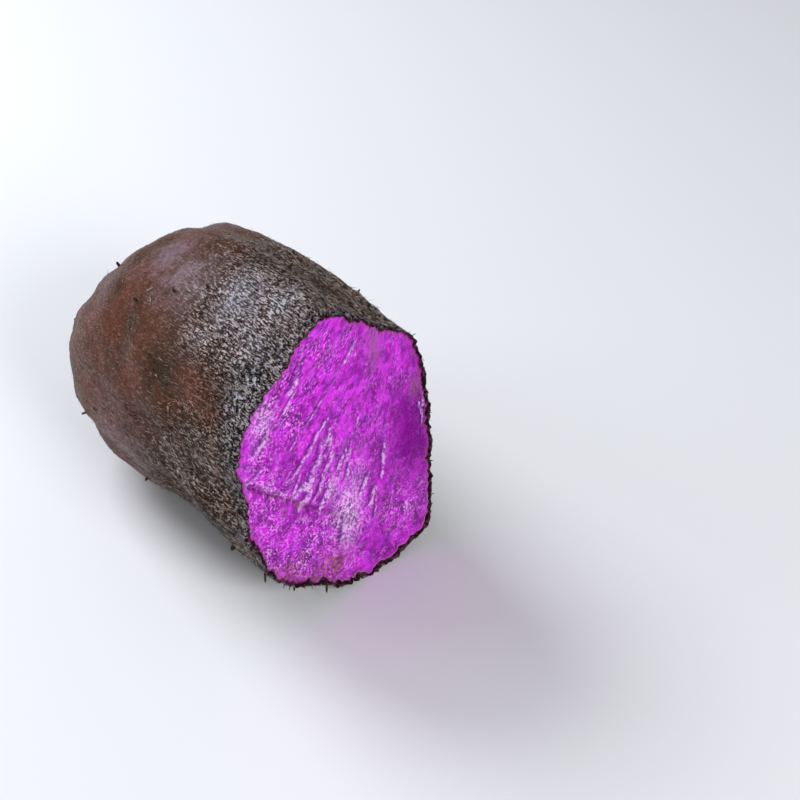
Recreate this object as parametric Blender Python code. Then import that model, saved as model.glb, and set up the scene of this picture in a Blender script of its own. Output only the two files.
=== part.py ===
"""One half of a purple yam, lying on its side: the cut face looks towards -Y, the blunt grown end
towards +Y, and the underside rests on z = 0. Skin, flesh, root scars and rootlets are one solid."""

import math

import bmesh
import bpy
import numpy as np
from mathutils import Matrix, Vector

MM = 0.001  # every length below is in millimetres, and angles are in degrees

# ---- the body: s runs from 0 at the cut to 1 at the grown end --------------------------------
LENGTH = 116.8
HALF_WIDTH = 33.7  # of the cut
HALF_HEIGHT = 44.3
MIDDLE_HEIGHT = 44.6  # of the cut's middle above the ground
SWELL_WIDTH = (0.326, 0.082)  # the section's growth, for s and for s squared
SWELL_HEIGHT = (-0.055, -0.32)
BEND_SIDEWAYS = (19.7, 1.0)  # how far the section's middle wanders to +X, for s and for s squared
BEND_UP = (-4.2, -11.7)
BLUNTNESS = 6.2  # the higher, the flatter the grown end

# Outlines are factors on the oval, by the angle round it from +X towards +Z.
CUT_MEAN = 1.018
CUT_WAVES = ((1, 0.074, 39), (2, 0.066, -83), (3, 0.095, -45))  # times round, factor, where it peaks
CUT_CORNERS = (  # where, width, factor
    (70, 27, -0.339),  # the notch at the top right
    (151, 19, 0.171),  # the corner on the left flank
    (316, 12, 0.149),  # the low right corner
)
BODY_WAVES = ((2, 0.084, 98), (3, 0.007, 88))
CUT_FADE = 0.73  # share of the length over which the cut's outline turns into the body's
WAIST_AT = (213, 0.36)  # angle and s
WAIST_WIDTH = (29, 0.166)
WAIST = -0.073

# ---- small forms of the skin ----------------------------------------------------------------
SEED = 7
LUMPS = 9  # long waves that make the skin uneven
LUMP_LENGTH = (26.0, 48.0)
LUMP_HEIGHT = 0.17
FURROWS = (11, 14, 19)  # times round: shallow furrows that run along the body
FURROW_DEPTH = 0.17
FURROW_SWAY = 1.5  # radians to either side
FURROW_END = 0.25  # the furrows fade out over this share of the length, before the grown end
WRINKLES = 10  # short waves, longer along the body than round it
WRINKLE_LENGTH = (8.0, 13.0)
WRINKLE_STRETCH = 0.45
WRINKLE_HEIGHT = 0.13
SCARS = 52
SCAR_RADIUS = (2.2, 3.8)
SCAR_HEIGHT = (0.2, 0.5)
SCAR_SPACING = 8.0
ROOTLET_SIDES = 5
ROOTLET_RADIUS = (0.40, 0.65)
ROOTLET_TIP = 0.4  # of its radius
ROOTLET_LENGTH = (0.6, 1.7)  # above the skin
ROOTLET_SUNK = 1.8
ROOTLET_LEAN = 0.5
ROOTLET_CLEARANCE = 7.0  # least height of a rootlet's foot above the ground

# ---- the cut face ---------------------------------------------------------------------------
RIM_ROUND = 0.45  # the rounding of the skin's cut edge
RIM_THICKNESS = 1.2  # the skin's edge round the flesh
RIM_SLOPE = 0.5
RIM_STEP = 0.4  # how far the flesh starts behind that edge
FACE_BOW = 0.6  # the middle of the face stands this much out
STREAKS = (  # spacing, height, and the length along a streak of one sway
    (6.5, 0.16, 57.0),
    (9.5, 0.20, 82.0),
    (14.0, 0.22, 107.0),
)
STREAK_SWAY = 1.4  # radians to either side
STREAK_BREAKS = 0.4  # share of the height that comes and goes along a streak
BREAK_SPACING = 1.7  # times the streak's own spacing
BREAK_SLANT = 5.0
STREAK_MEETING = (28.0, 62.0)  # the streaks point up to here, from the middle of the face
STREAK_START = 0.12  # share of the way in from the rim over which they grow to full height
CREASE_LEFT = (-31.5, 7.2)  # a shallow crease crosses the face from here, from its middle
CREASE_SLOPE = -0.86
CREASE_LENGTH = 40.0
CREASE_WIDTH = 3.0
CREASE_DEPTH = 0.7
CREASE_WAVE = (-0.5, 38.0)  # height and length

# ---- how finely it is drawn -----------------------------------------------------------------
ROUND = 84
SKIN_RINGS = 46
EDGE_RINGS = 3
FACE_RINGS = 16
RINGS = SKIN_RINGS + EDGE_RINGS + FACE_RINGS
RING_CROWDING = 1.7  # rings lie closer together towards the grown end
SHARP_EDGE = 40  # a larger angle between two faces stays a crisp edge

SKIN_COLOUR = (0.075, 0.048, 0.045, 1.0)
FLESH_COLOUR = (0.47, 0.045, 0.55, 1.0)


def clear_scene():
    for obj in list(bpy.data.objects):
        bpy.data.objects.remove(obj)


def new_collection(name):
    collection = bpy.data.collections.new(name)
    bpy.context.scene.collection.children.link(collection)
    return collection


def new_material(name, colour, roughness):
    made = bpy.data.materials.new(name)
    made.use_nodes = True
    shader = made.node_tree.nodes["Principled BSDF"]
    shader.inputs["Base Color"].default_value = colour
    shader.inputs["Roughness"].default_value = roughness
    shader.inputs["Metallic"].default_value = 0.0
    made.diffuse_color = colour
    return made


def smooth_step(t):
    t = min(1.0, max(0.0, t))
    return t * t * (3 - 2 * t)


def hill(distance, width):
    """1 at no distance, falling to 0 on both sides."""
    return math.exp(-((distance / width) ** 2))


def turn(angle, at):
    """The shortest way round from one angle to another, in degrees."""
    return (angle - at + 180) % 360 - 180


def waves(angle, rows):
    return sum(factor * math.cos(math.radians(times * (angle - at))) for times, factor, at in rows)


def outline_factor(angle, s):
    """The section's outline against its oval: the cut's own outline, turning into the body's."""
    cut = CUT_MEAN + waves(angle, CUT_WAVES)
    cut += sum(factor * hill(turn(angle, at), width) for at, width, factor in CUT_CORNERS)
    body = 1 + waves(angle, BODY_WAVES)
    share = smooth_step(s / CUT_FADE)
    waist = WAIST * hill(turn(angle, WAIST_AT[0]), WAIST_WIDTH[0]) * hill(s - WAIST_AT[1], WAIST_WIDTH[1])
    return cut * (1 - share) + body * share + waist


def growth(rates, s):
    return rates[0] * s + rates[1] * s * s


def smooth_place(angle, s):
    """A point of the body without its small forms."""
    size = outline_factor(angle, s) * math.sqrt(1 - s**BLUNTNESS)
    across = HALF_WIDTH * (1 + growth(SWELL_WIDTH, s)) * size * math.cos(math.radians(angle))
    upward = HALF_HEIGHT * (1 + growth(SWELL_HEIGHT, s)) * size * math.sin(math.radians(angle))
    middle = MIDDLE_HEIGHT + growth(BEND_UP, s)
    return Vector((growth(BEND_SIDEWAYS, s) + across, LENGTH * s, middle + upward))


def outward(angle, s):
    """The direction straight out of the skin."""
    step = 0.001
    if s > 1 - step:
        return Vector((0, 1, 0))
    s = max(s, step)
    around = smooth_place(angle + 1, s) - smooth_place(angle - 1, s)
    along = smooth_place(angle, s + step) - smooth_place(angle, s - step)
    return along.cross(around).normalized()


def draw_waves(rng, count, lengths, height, stretch):
    """Waves in space, each with its direction and wave number as a vector, a start and a height."""
    rows = []
    for _ in range(count):
        way = Vector(rng.normal(size=3)).normalized() * 2 * math.pi / rng.uniform(*lengths)
        way.y *= stretch
        rows.append((way, rng.uniform(0, 2 * math.pi), height))
    return rows


def draw_uneven(rng):
    lumps = draw_waves(rng, LUMPS, LUMP_LENGTH, LUMP_HEIGHT, 1.0)
    return lumps + draw_waves(rng, WRINKLES, WRINKLE_LENGTH, WRINKLE_HEIGHT, WRINKLE_STRETCH)


def draw_scars(rng):
    """Root scars spread over the skin, each with its angle, s, place, radius and height."""
    rows = []
    while len(rows) < SCARS:
        angle = rng.uniform(0, 360)
        s = rng.uniform(0.06, 0.985)
        radius = rng.uniform(*SCAR_RADIUS)
        height = rng.uniform(*SCAR_HEIGHT)
        place = smooth_place(angle, s)
        if all((place - other[2]).length > SCAR_SPACING for other in rows):
            rows.append((angle, s, place, radius, height))
    return rows


def skin_relief(place, angle, s, uneven, scars):
    """How far the skin stands out of the smooth body."""
    out = sum(height * math.cos(place.dot(way) + start) for way, start, height in uneven)
    fade = smooth_step((1 - s) / FURROW_END)
    for k, times in enumerate(FURROWS):
        sway = FURROW_SWAY * math.sin(math.pi * s + k) + 2 * k
        out += FURROW_DEPTH * fade * math.cos(math.radians(times * angle) + sway)
    for _, _, middle, radius, height in scars:
        out += height * hill((place - middle).length, radius)
    return out


def skin_place(angle, s, uneven, scars):
    place = smooth_place(angle, s)
    return place + outward(angle, s) * skin_relief(place, angle, s, uneven, scars)


def face_relief(x, z):
    """How far the flesh stands out of the cut plane, x and z from the middle of the face."""
    down = STREAK_MEETING[1] - z
    aside = x - STREAK_MEETING[0]
    away = math.hypot(aside, down)
    across = math.atan2(aside, down) * STREAK_MEETING[1]
    out = 0.0
    for k, (spacing, height, length) in enumerate(STREAKS):
        sway = STREAK_SWAY * math.sin(2 * math.pi * away / length + 2 * k)
        crest = math.cos(2 * math.pi * across / spacing + sway)
        breaks = math.cos(2 * math.pi * away / (BREAK_SPACING * spacing) + across / BREAK_SLANT + k)
        out += height * (crest + STREAK_BREAKS * breaks)
    run = x - CREASE_LEFT[0]
    wave = CREASE_WAVE[0] * math.sin(2 * math.pi * run / CREASE_WAVE[1])
    crease = CREASE_LEFT[1] + CREASE_SLOPE * run + wave
    fade = smooth_step(2 * (1 - run / CREASE_LENGTH))
    return out - CREASE_DEPTH * hill(z - crease, CREASE_WIDTH) * fade


def face_place(step, angle, uneven, scars):
    """A point of the cut: the skin's edge is the first few steps in from the outside, then the flesh."""
    middle = Vector((0, 0, MIDDLE_HEIGHT))
    reach = skin_place(angle, 0.0, uneven, scars) - middle
    reach.y = 0
    if step == 1:
        return middle + reach * (1 - RIM_ROUND / reach.length)
    if step == 2:
        return middle + reach * (1 - RIM_THICKNESS / reach.length)
    inner = 1 - (RIM_THICKNESS + RIM_SLOPE) / reach.length
    share = 1 - (step - EDGE_RINGS) / FACE_RINGS
    place = middle + reach * inner * share
    height = face_relief(place.x, place.z - MIDDLE_HEIGHT) * smooth_step((1 - share) / STREAK_START)
    place.y = RIM_STEP - FACE_BOW * (1 - share * share) - height
    return place


def yam_mesh(uneven, scars):
    """A ball whose rings are carried to the body: its top is the grown end, its bottom the cut's middle."""
    bm = bmesh.new()
    bmesh.ops.create_uvsphere(bm, u_segments=ROUND, v_segments=RINGS, radius=1.0)
    flesh = set()
    for vertex in bm.verts:
        ring = round(math.acos(max(-1.0, min(1.0, vertex.co.z))) / math.pi * RINGS)
        angle = -math.degrees(math.atan2(vertex.co.y, vertex.co.x))
        if ring <= SKIN_RINGS:
            s = 1 - (ring / (SKIN_RINGS + 0.3)) ** RING_CROWDING
            place = skin_place(angle, s, uneven, scars)
        else:
            place = face_place(ring - SKIN_RINGS, angle, uneven, scars)
            if ring >= SKIN_RINGS + 2:
                flesh.add(vertex)
        place.z = max(place.z, 0.0)
        vertex.co = place * MM
    for face in bm.faces:
        face.material_index = int(all(vertex in flesh for vertex in face.verts))
    return bm


def rootlet_mesh(rng, angle, s, place):
    """A short peg, well sunk into the skin, that leans a little towards the grown end or aside."""
    out = outward(angle, s)
    lean = Vector(rng.uniform(-ROOTLET_LEAN, ROOTLET_LEAN, size=3))
    way = (out + lean).normalized()
    radius = rng.uniform(*ROOTLET_RADIUS)
    length = rng.uniform(*ROOTLET_LENGTH) + ROOTLET_SUNK
    bm = bmesh.new()
    bmesh.ops.create_cone(
        bm,
        cap_ends=True,
        segments=ROOTLET_SIDES,
        radius1=radius * MM,
        radius2=radius * ROOTLET_TIP * MM,
        depth=length * MM,
    )
    foot = Matrix.Translation((place - way * ROOTLET_SUNK) * MM)
    rise = Matrix.Translation((0, 0, length / 2 * MM))
    bm.transform(foot @ way.to_track_quat("Z", "Y").to_matrix().to_4x4() @ rise)
    return bm


def mesh_object(name, bm, collection, materials):
    mesh = bpy.data.meshes.new(name)
    bm.to_mesh(mesh)
    bm.free()
    for slot in materials:
        mesh.materials.append(slot)
    obj = bpy.data.objects.new(name, mesh)
    collection.objects.link(obj)
    return obj


def apply_modifiers(obj):
    graph = bpy.context.evaluated_depsgraph_get()
    finished = bpy.data.meshes.new_from_object(obj.evaluated_get(graph))
    obj.modifiers.clear()
    obj.data = finished


def fuse(body, collection):
    """Joins every object of the collection to the body in one union, then removes them."""
    union = body.modifiers.new("fused rootlets", "BOOLEAN")
    union.operation = "UNION"
    union.operand_type = "COLLECTION"
    union.collection = collection
    union.solver = "EXACT"
    apply_modifiers(body)
    for obj in list(collection.objects):
        bpy.data.objects.remove(obj)


def settle(body):
    """Puts the middle of the bounding box on the origin, seen from above. The ground is already z = 0."""
    corners = [Vector(corner) for corner in body.bound_box]
    low = Vector(min(corner[axis] for corner in corners) for axis in range(3))
    high = Vector(max(corner[axis] for corner in corners) for axis in range(3))
    shift = -(low + high) / 2
    shift.z = -low.z
    body.data.transform(Matrix.Translation(shift))


def shade(body):
    """Round forms are shaded smooth, and the crisp edges stay crisp."""
    bm = bmesh.new()
    bm.from_mesh(body.data)
    for face in bm.faces:
        face.smooth = True
    for edge in bm.edges:
        edge.smooth = edge.calc_face_angle(0) < math.radians(SHARP_EDGE)
    bm.to_mesh(body.data)
    bm.free()


def build():
    clear_scene()
    parts = new_collection("purple_yam")
    repeats = new_collection("repeats")
    skin = new_material("skin", SKIN_COLOUR, 0.45)
    flesh = new_material("flesh", FLESH_COLOUR, 0.35)
    rng = np.random.default_rng(SEED)
    uneven = draw_uneven(rng)
    scars = draw_scars(rng)
    body = mesh_object("yam_half", yam_mesh(uneven, scars), parts, (skin, flesh))
    for angle, s, _, _, _ in scars:
        place = skin_place(angle, s, uneven, scars)
        if place.z > ROOTLET_CLEARANCE:
            mesh_object("rootlet", rootlet_mesh(rng, angle, s, place), repeats, (skin, flesh))
    fuse(body, repeats)
    settle(body)
    shade(body)


build()
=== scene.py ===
"""The looks of the purple yam half: its fine skin, its wet cut flesh and its root hairs, with a pale
floor, soft light and the camera. Lengths are in millimetres and angles in degrees, until a mesh is made."""

import math

import bpy
import numpy as np
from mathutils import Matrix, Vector, noise


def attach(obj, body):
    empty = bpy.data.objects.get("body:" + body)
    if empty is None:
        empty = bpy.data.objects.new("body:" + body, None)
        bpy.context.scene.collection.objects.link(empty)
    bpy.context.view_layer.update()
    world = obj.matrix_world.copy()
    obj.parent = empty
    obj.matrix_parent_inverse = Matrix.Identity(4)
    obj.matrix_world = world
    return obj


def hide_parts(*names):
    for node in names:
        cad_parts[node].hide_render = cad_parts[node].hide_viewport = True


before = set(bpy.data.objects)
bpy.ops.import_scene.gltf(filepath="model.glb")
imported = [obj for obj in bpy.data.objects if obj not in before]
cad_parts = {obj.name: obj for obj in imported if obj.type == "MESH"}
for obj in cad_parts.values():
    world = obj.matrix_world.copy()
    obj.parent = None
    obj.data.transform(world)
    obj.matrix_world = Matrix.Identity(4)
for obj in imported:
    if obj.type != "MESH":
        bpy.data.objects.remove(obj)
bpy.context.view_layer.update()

MM = 0.001
NODE = "yam_half"

# ---- the solid's form, with the same values as its source -------------------------------------
CUT_MIDDLE = np.array([-8.84, -57.99, 44.6])  # the middle of the cut, in the row frame
LENGTH = 116.8
HALF_WIDTH = 33.7
HALF_HEIGHT = 44.3
SWELL_WIDTH = (0.326, 0.082)
SWELL_HEIGHT = (-0.055, -0.32)
BEND_SIDEWAYS = (19.7, 1.0)
BEND_UP = (-4.2, -11.7)
BLUNTNESS = 6.2
CUT_MEAN = 1.018
CUT_WAVES = ((1, 0.074, 39), (2, 0.066, -83), (3, 0.095, -45))
CUT_CORNERS = ((70, 27, -0.339), (151, 19, 0.171), (316, 12, 0.149))
BODY_WAVES = ((2, 0.084, 98), (3, 0.007, 88))
CUT_FADE = 0.73
WAIST_AT = (213, 0.36)
WAIST_WIDTH = (29, 0.166)
WAIST = -0.073
SEED = 7
LUMPS = 9
LUMP_LENGTH = (26.0, 48.0)
LUMP_HEIGHT = 0.17
FURROWS = (11, 14, 19)
FURROW_DEPTH = 0.17
FURROW_SWAY = 1.5
FURROW_END = 0.25
WRINKLES = 10
WRINKLE_LENGTH = (8.0, 13.0)
WRINKLE_STRETCH = 0.45
WRINKLE_HEIGHT = 0.13
SCARS = 52
SCAR_RADIUS = (2.2, 3.8)
SCAR_HEIGHT = (0.2, 0.5)
SCAR_SPACING = 8.0
ROOTLET_RADIUS = (0.40, 0.65)
ROOTLET_LENGTH = (0.6, 1.7)
ROOTLET_LEAN = 0.5
ROOTLET_CLEARANCE = 7.0
RIM_THICKNESS = 1.2
RIM_STEP = 0.4
FACE_BOW = 0.6
STREAKS = ((6.5, 0.16, 57.0), (9.5, 0.20, 82.0), (14.0, 0.22, 107.0))
STREAK_SWAY = 1.4
STREAK_BREAKS = 0.4
BREAK_SPACING = 1.7
BREAK_SLANT = 5.0
STREAK_MEETING = (28.0, 62.0)
STREAK_START = 0.12
CREASE_LEFT = (-31.5, 7.2)
CREASE_SLOPE = -0.86
CREASE_LENGTH = 40.0
CREASE_WIDTH = 3.0
CREASE_DEPTH = 0.7
CREASE_WAVE = (-0.5, 38.0)
CREASE_END = 2.0

# ---- finer forms of the skin ------------------------------------------------------------------
SKIN_ROUND = 440  # points round the body
SKIN_RINGS = 214
RING_CROWDING = 1.7
FIBRE_SIZE = 1.3  # ridges that run along the body
FIBRE_STRETCH = 6.0
FIBRE_HEIGHT = 0.16
FIBRE_LOSS = 0.4  # the share of their height that is missing beside the cut
CRUMPLE_SIZE = 2.4  # the crumpled skin beside the cut
CRUMPLE_STRETCH = 1.3
CRUMPLE_HEIGHT = 0.30
CRUMPLE_REACH = 12.0
RIM_BUMPS = 0.55  # height of the bumps on the skin's cut edge
RIM_BUMP_SIZE = 1.7
RIM_BUMP_REACH = 2.5
RAGGED = 0.95  # how unevenly the rim is thick
RAGGED_SIZE = 3.0
RIM_THIN = 0.42  # the rim's usual share of the solid's rim
RIM_THICKER = ((285, 62, 1.0), (193, 15, 0.55), (90, 24, 0.6))  # where it is thicker: angle, width, share
RIM_NICKS = ((60, 3.5, 1.0), (16, 3.5, 0.9))  # where the skin bites into the flesh: angle, width, depth
# The rim from its outer edge inward: share of its thickness, how far back, and how much it looks cut.
RIM_PROFILE = ((0.25, -0.25, 0.5), (0.55, -0.35, 1.0), (0.85, -0.2, 1.0), (1.0, 0.25, 1.0), (1.3, 1.2, 1.0))
DISC_SHARE = 0.85  # the size of the hidden disc that closes the skin, as a share of the cut
DISC_BEHIND = 0.6  # how far it is behind the flesh

# ---- marks of the skin ------------------------------------------------------------------------
# Soft patches, each as angle, s, radius and share.
SKIN_MARKS = {
    # Grey-lilac bloom: a painted sheen on the top, a painted reflection low on the flank at angle 200, and
    # seeded patches of tone.
    "bloom_and_sheen": [(105, 0.568, 8, 0.9), (114, 0.46, 8, 0.8), (124, 0.72, 8, 0.4), (200, 0.5, 14, 0.6)],
    # Painted sheen: grey-blue where light catches the wet top of the skin.
    "painted_sheen": [(114, 0.40, 10, 1.0), (112, 0.235, 11, 1.0), (122, 0.13, 9, 0.7), (104, 0.12, 9, 0.8),
              (131, 0.30, 8, 0.5)],
    "rusty": [(148, 0.14, 9, 1.0), (153, 0.45, 9, 0.9), (138, 0.61, 10, 0.7), (158, 0.28, 9, 0.9),
              (147, 0.22, 8, 0.9), (135, 0.46, 9, 0.9)],
    # Dark patches and small dark spots; those at angles 76 and 88 are painted shade over the top right.
    "dark": [(147, 0.336, 7, 1.0), (125, 0.648, 2.2, 0.9), (151, 0.376, 1.6, 1.0), (140, 0.50, 7, 0.5),
             (76, 0.20, 13, 0.9), (88, 0.33, 11, 0.7), (172, 0.20, 9, 0.6), (141, 0.10, 5, 0.5)],
    "red": [(109, 0.623, 3, 0.6), (121, 0.576, 3, 0.6), (92, 0.388, 2, 0.8), (153, 0.448, 3, 0.5),
            (158, 0.055, 2, 0.8)],
    "violet": [(105, 0.568, 3, 0.8), (162, 0.08, 1.5, 0.8), (169, 0.033, 2.5, 0.8)],
    # Black skin beside the cut, with painted glints.
    "black_and_glints": [(112, 0.0, 6, 0.7), (122, 0.025, 7, 0.9), (132, 0.04, 8, 1.0), (142, 0.04, 8, 1.0),
               (152, 0.03, 6, 0.9), (170, 0.0, 5, 0.7)],
}
MARK_WOBBLE = 0.45
MARK_WOBBLE_SIZE = 3.0
# More patches at seeded places, on the sides that those leave out.
SEEDED_MARKS = 26
SEEDED_KINDS = ("rusty", "dark", "bloom_and_sheen", "rusty", "dark", "red", "painted_sheen")
SEEDED_ANGLES = (185.0, 425.0)
SEEDED_ALONG = (0.04, 0.92)
SEEDED_RADIUS = (5.0, 13.0)
SEEDED_RED_RADIUS = (1.5, 3.5)
SEEDED_SHARE = (0.5, 1.0)
# How far from the cut the skin has crisp lines, as angle and share of the length.
CRISP_REACH = ((20, 0.66), (75, 0.50), (100, 0.39), (116, 0.36), (128, 0.35), (136, 0.30), (143, 0.22),
               (150, 0.17), (157, 0.25), (168, 0.35), (200, 0.42), (250, 0.55), (310, 0.70))
CRISP_AT_RIM = 10.0  # as if the rim were this far inside that border

# ---- root hairs -------------------------------------------------------------------------------
HAIRS = 12000  # fine hairs that lie along the skin
HAIRS_ALONG = (0.01, 0.97)  # from s to s
HAIRS_AT_END = 0.10  # the share of them that is kept on the grown end
HAIRS_THIN_BY = 0.62  # they are that thin from this s on
HAIRS_THIN_OVER = 0.40  # and grow thinner over this share of the length
HAIR_LENGTH = (1.2, 3.6)
HAIR_RADIUS = (0.05, 0.10)
HAIR_TURN = 16.0  # how far they stray from the body's length
HAIRS_BACKWARD = 0.3  # the share that points the other way
HAIR_SUNK = 0.15  # how deep a foot is in the skin
HAIR_MIDDLE = 0.10  # how far a hair's middle is above the skin
HAIR_RISE = 0.12  # of the tip above the skin, as a share of the length
HAIR_RISES = (0.4, 3.0)  # of that, the least, and how much more the highest tips have
DARK_HAIRS = 0.6  # the share of dark ones
DARK_TONES = 0.3  # their tones reach from 0 to this share of the draw
PALE_TONES = (0.45, 0.5)  # tones of the others: at a draw of 0, and what a draw of 1 adds
LONG_HAIRS = 0.05  # the share of longer, thicker and palest ones
LONG_HAIR_LENGTH = 1.8
LONG_HAIR_RADIUS = 1.4
SHORT_HAIRS = 4.0  # nearer than this to the cut, hairs are shorter
SHORTEST = 0.3
NEAREST_CUT = 0.003  # the least s of a hair's points
LEAST_CLEARANCE = 0.5  # hairs with a lower foot are left out
# Single pale hairs that stand out: angle, s, length and how far the tip turns.
PALE_HAIRS = ((125, 0.508, 3.2, 3), (152, 0.213, 4.5, 1), (158, 0.293, 2.0, -2), (158.5, 0.290, 1.6, 2),
              (150, 0.36, 2.0, 1), (123, 0.530, 2.2, -2), (136, 0.17, 3.0, 2))
PALE_HAIR_RADIUS = 0.22
PALE_HAIR_MIDDLE = 0.3  # how far the middle is above the skin, and its share of the turn
PALE_HAIR_TIP = 0.5
FRINGE = 170  # stiffer ones at the skin's cut edge
FRINGE_ALONG = (0.0, 0.02)
FRINGE_LENGTH = (0.4, 1.3)
FRINGE_RADIUS = (0.08, 0.18)
FRINGE_LEAN = 0.5
FRINGE_FORWARD = 0.35
FRINGE_BEND = 0.12
FRINGE_SUNK = 0.3
FRINGE_MIDDLE = 0.5
ROOTLET_SUNK = 0.8
ROOTLET_MIDDLE = 0.75  # where the taper to the tip begins
ROOTLET_TONE = 0.25
RIM_STUBS = ((214, 2.4), (258, 2.9), (236, 1.3))  # broken roots at the cut's lower edge: angle and length
RIM_STUB_RADIUS = 0.40
RIM_STUB_WAY = (-0.40, -0.45, -0.80)
RIM_STUB_ALONG = 0.005
SPIKE_CORNERS = (90, 210, 330)  # every hair is a three-sided spike
SPIKE_MIDDLE = 0.8  # its radius in the middle, as a share of its foot's
ASIDE = (0.3, 0.9, 0.3)  # a way that no stiff hair points in

# ---- finer forms of the flesh -----------------------------------------------------------------
FLESH_GRID = 290
FLESH_EDGE_STEP = 0.25  # degrees between the points of its outer line
FLESH_TUCK = 0.15  # how far the flesh reaches under the rim
FLESH_BACK = 2.6
FLESH_TAPER = 0.96  # its back, as a share of its front
RELIEF_START = 0.8  # how far in from the rim the finer forms have their full height
MOTTLE_SIZE = 1.5
MOTTLE_STRETCH = 1.6
MOTTLE_HEIGHT = 0.16
MOTTLE_LOSS = 0.7  # the share that is missing where the flesh is calm
GRAIN_SIZE = 0.8
GRAIN_HEIGHT = 0.12
GRAIN_LEAST = 0.4
STREAKS_WEAKER = 0.7  # the share of the streaks that is missing on the right
STREAKS_WEAKER_FROM = 4.0
STREAKS_WEAKER_OVER = 12.0
FOLD_WIDTH = 0.9  # the sharp bottom of the crease
FOLD_DEPTH = 0.45
FOLD_WOBBLE = 1.6
FOLD_END = 1.6  # the higher, the shorter its fading end
LIP_ABOVE = 1.5  # the ridge above the crease, which has a painted highlight
LIP_WIDTH = 0.9
LIP_HEIGHT = 0.25
LIP_START = -34.0
LIP_START_OVER = 3.0
LIP_END = -12.0
LIP_END_OVER = 8.0
TORN = 44  # torn ridges that run with the streaks
TORN_ACROSS = (-36, 32)
TORN_UP = (-44, 44)
TORN_LENGTH = (2.0, 7.0)
TORN_WIDTH = (0.35, 0.80)
TORN_HEIGHT = (0.25, 0.60)
TORN_STRAY = 9.0  # degrees from the streaks
TORN_BOW = 0.12
TORN_WOBBLE = 0.45
TORN_WOBBLE_SIZE = 1.6
TORN_TAPER = (2.0, 2.4)  # above 1, a ridge is at full height; what its whole length takes off
TORN_SHADE = 1.8  # how many widths beside a ridge its shade is
# Where the ridges are: across, up, reach across, reach up and share.
TORN_ZONES = ((-6, 0, 12, 15, 1.0), (2, -20, 4, 8, 1.0), (12, -12, 4, 12, 0.5), (25, -28, 5, 5, 0.6),
              (-24, 12, 5, 12, 0.6), (-14, 30, 8, 8, 0.3), (30, 3, 1.5, 5, 1.0))
# Where the flesh is torn into fine grains, in the same way.
GRAIN_ZONES = ((-15, -24, 17, 13, 1.0), (-27, 14, 5, 18, 0.7), (3, -21, 6, 10, 1.0), (-24, 0, 8, 9, 0.8),
               (-5, 0, 14, 14, 0.35), (30, 4, 1.5, 6, 0.7), (22, -26, 9, 9, 0.6))
GRAINS_BELOW = 0.6  # the share of grains below the crease, left of a place where they fade out
GRAINS_BELOW_OVER = 5.0
GRAINS_LEFT_OF = 12.0
GRAINS_LEFT_OVER = 14.0
# Where it is smooth and darker under a painted shadow, and where its streaks have painted glints, in the same
# way.
CALM_SHADOW_ZONES = ((29, -4, 13, 19, 1.15),)
STREAKY_ZONES = ((-17, 26, 14, 18, 1.0), (-4, 34, 18, 9, 0.8), (-8, 8, 14, 18, 0.6), (10, -5, 10, 14, 0.35))
# Where it has patches of painted glints, the pale cortex at the left rim, where it is greyish and where
# brownish, in the same way.
GLINT_AND_CORTEX_ZONES = ((2.3, -19, 4.2, 10, 1.0), (-2, -8, 3, 5, 0.5), (6, -10, 2, 8, 0.4), (-26, 23, 3, 5, 0.7))
GREY_ZONES = ((12, 29, 2.5, 6, 1.0), (26.5, 10, 2, 4, 0.9))
BROWN_ZONES = ((-3.5, -34, 5, 5, 0.9), (-22, -28, 6, 4, 0.85), (-13, -35, 7, 4, 1.0),
               (-14.5, -8, 1.2, 1.2, 0.8))
EDGE_HIGHLIGHT = (300, 32)  # where a painted highlight lines the flesh at the skin: angle and width

# ---- the studio -------------------------------------------------------------------------------
CAMERA_AZIMUTH = -44.0
CAMERA_ELEVATION = 34.5
CAMERA_DISTANCE = 0.55  # in metres, as are all lengths of the studio
CAMERA_AIM = Vector((0.0372, -0.0321, 0.0280))
CAMERA_LENS = 86.8
LIGHT_AIM = Vector((0, 0, 0.04))
# Soft round lights: how far right of the aim, beyond it and above it, then size, watts and tint.
LIGHTS = {
    "sky_back": (-0.50, 0.40, 0.60, 0.5, 6.5, (0.93, 0.95, 1.0)),
    "side": (-0.80, 0.0, 0.42, 0.45, 1.6, (0.90, 0.95, 1.0)),
    "front": (0.45, -0.75, 0.45, 0.35, 5.5, (1.0, 1.0, 1.0)),
}
WORLD_STRENGTH = 0.25
FLOOR_HALF = 3.0
FLOOR_COLOUR = (0.82, 0.83, 0.86, 1.0)


# ---- the form ---------------------------------------------------------------------------------
def smooth_step(t):
    t = np.clip(t, 0, 1)
    return t * t * (3 - 2 * t)


def hill(distance, width):
    return np.exp(-((distance / width) ** 2))


def turn(angle, at):
    return (angle - at + 180) % 360 - 180


def waves(angle, rows):
    return sum(factor * np.cos(np.radians(times * (angle - at))) for times, factor, at in rows)


def growth(rates, s):
    return rates[0] * s + rates[1] * s * s


def outline_factor(angle, s):
    cut = CUT_MEAN + waves(angle, CUT_WAVES)
    cut = cut + sum(factor * hill(turn(angle, at), width) for at, width, factor in CUT_CORNERS)
    share = smooth_step(s / CUT_FADE)
    waist = WAIST * hill(turn(angle, WAIST_AT[0]), WAIST_WIDTH[0]) * hill(s - WAIST_AT[1], WAIST_WIDTH[1])
    return cut * (1 - share) + (1 + waves(angle, BODY_WAVES)) * share + waist


def spine(s):
    """The middle of the section, from the middle of the cut."""
    return np.stack([growth(BEND_SIDEWAYS, s), LENGTH * s, growth(BEND_UP, s)], axis=-1)


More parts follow.
